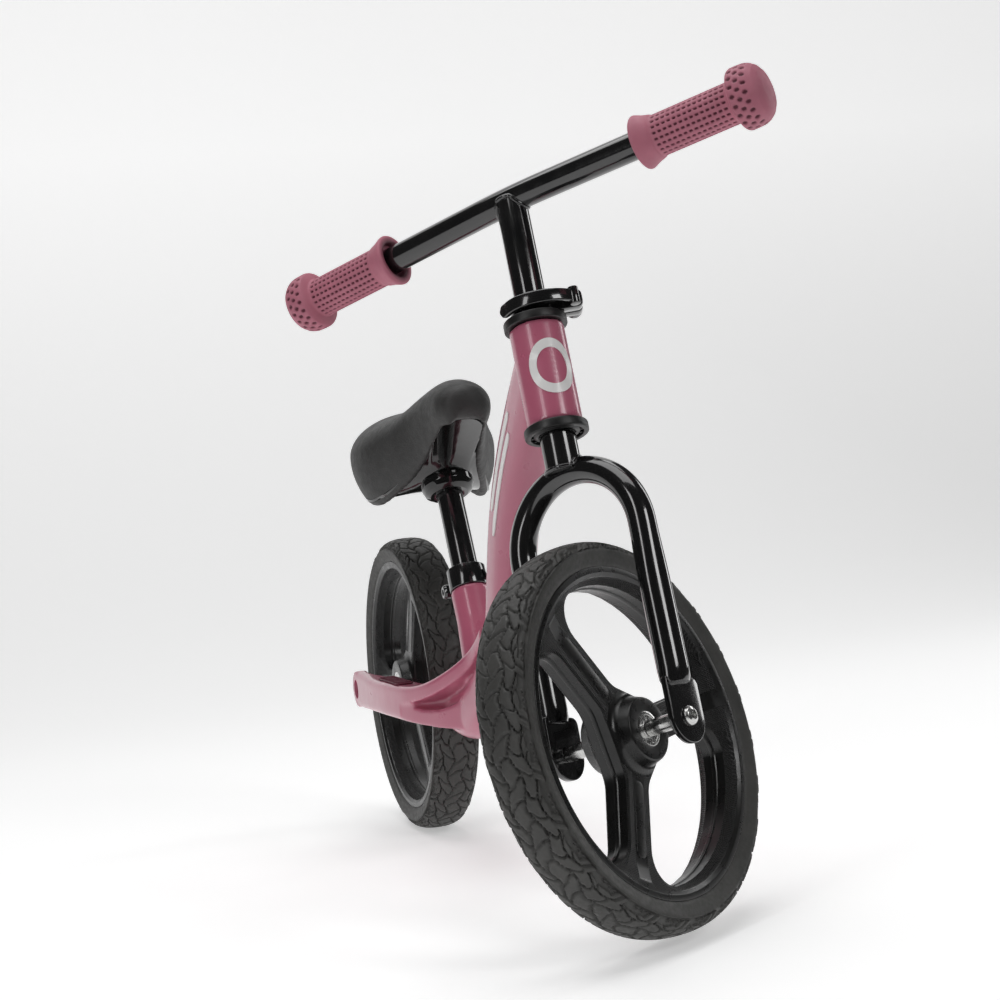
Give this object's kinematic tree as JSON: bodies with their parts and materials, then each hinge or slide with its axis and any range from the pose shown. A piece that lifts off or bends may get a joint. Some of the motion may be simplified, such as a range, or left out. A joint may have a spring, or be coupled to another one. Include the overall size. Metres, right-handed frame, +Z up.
{
  "type": "balance bike",
  "caption": "Child's pedal-less balance bike with a single-beam frame, bent-tube fork, three-spoke wheels with foam tyres, height-set saddle and handlebar with quick-release clamps.",
  "frame": {"origin": "centre of the rear axle", "axes": "+X forward along the bike, +Y to the rider's left, +Z up; the wheels stand on the plane z = -0.146 m"},
  "size_m": [0.8404, 0.3249, 0.6299],
  "materials": {
    "pink_paint": "gloss powder coat, dusty pink",
    "black_paint": "gloss black powder coat",
    "black_plastic": "satin moulded nylon",
    "shell_plastic": "gloss black moulding",
    "tyre_foam": "matt EVA foam with block tread",
    "bright_steel": "zinc plated",
    "pink_rubber": "matt dusty pink",
    "seat_foam": "matt moulded polyurethane skin",
    "grip_rubber": "matt ribbed anti-slip"
  },
  "bodies": {
    "frame": {"frame": "pink_paint", "footrest_pad_left": "grip_rubber", "footrest_pad_right": "grip_rubber", "headset_cup_lower": "black_plastic", "headset_cup_upper": "black_plastic", "headset_bearing_lower": "bright_steel", "headset_bearing_upper": "bright_steel", "rear_axle": "bright_steel", "rear_spacer_left": "bright_steel", "rear_spacer_right": "bright_steel", "rear_bolt_left": "bright_steel", "rear_bolt_right": "bright_steel", "seat_clamp_collar": "black_paint", "seat_clamp_skewer": "bright_steel", "seat_clamp_nut": "black_paint"},
    "fork": {"fork": "black_paint", "front_axle": "bright_steel", "front_spacer_left": "bright_steel", "front_spacer_right": "bright_steel", "front_bolt_left": "bright_steel", "front_bolt_right": "bright_steel", "stem_clamp_collar": "black_paint", "stem_clamp_skewer": "bright_steel", "stem_clamp_nut": "black_paint"},
    "front_wheel": {"front_tyre": "tyre_foam", "front_rim": "black_plastic", "front_bearing_left": "bright_steel", "front_bearing_right": "bright_steel"},
    "rear_wheel": {"rear_tyre": "tyre_foam", "rear_rim": "black_plastic", "rear_bearing_left": "bright_steel", "rear_bearing_right": "bright_steel"},
    "handlebar": {"handlebar": "black_paint", "grip_left": "pink_rubber", "grip_right": "pink_rubber"},
    "stem_lever": {"stem_clamp_lever": "black_paint"},
    "saddle": {"seat_pad": "seat_foam", "seat_shell": "shell_plastic", "seat_collar": "black_plastic", "seatpost": "black_paint"},
    "seat_lever": {"seat_clamp_lever": "black_paint"}
  },
  "joints": [
    {"name": "steering", "type": "hinge", "parent": "frame", "child": "fork", "pos_m": [0.59372, 0, 0.00293], "axis": [-0.319, 0, 0.9478], "range_deg": [-16, 124]},
    {"name": "front_wheel_spin", "type": "hinge", "parent": "fork", "child": "front_wheel", "pos_m": [0.58859, 0.00744, 0.00121], "axis": [0.7668, 0.5878, 0.258], "continuous": true},
    {"name": "rear_wheel_spin", "type": "hinge", "parent": "frame", "child": "rear_wheel", "pos_m": [0, 0, 0], "axis": [0, 1, 0], "continuous": true},
    {"name": "bar_height", "type": "slide", "parent": "fork", "child": "handlebar", "axis": [-0.319, 0, 0.9478], "range_m": [-0.035, 0.03]},
    {"name": "stem_lever_open", "type": "hinge", "parent": "fork", "child": "stem_lever", "pos_m": [0.5068, 0.02754, 0.33089], "axis": [-0.319, 0, 0.9478], "range_deg": [0, 150]},
    {"name": "saddle_height", "type": "slide", "parent": "frame", "child": "saddle", "axis": [-0.4226, 0, 0.9063], "range_m": [-0.05, 0.015]},
    {"name": "seat_lever_open", "type": "hinge", "parent": "frame", "child": "seat_lever", "pos_m": [0.1985, 0.014, 0.09785], "axis": [-0.4226, 0, 0.9063], "range_deg": [0, 150]}
  ]
}
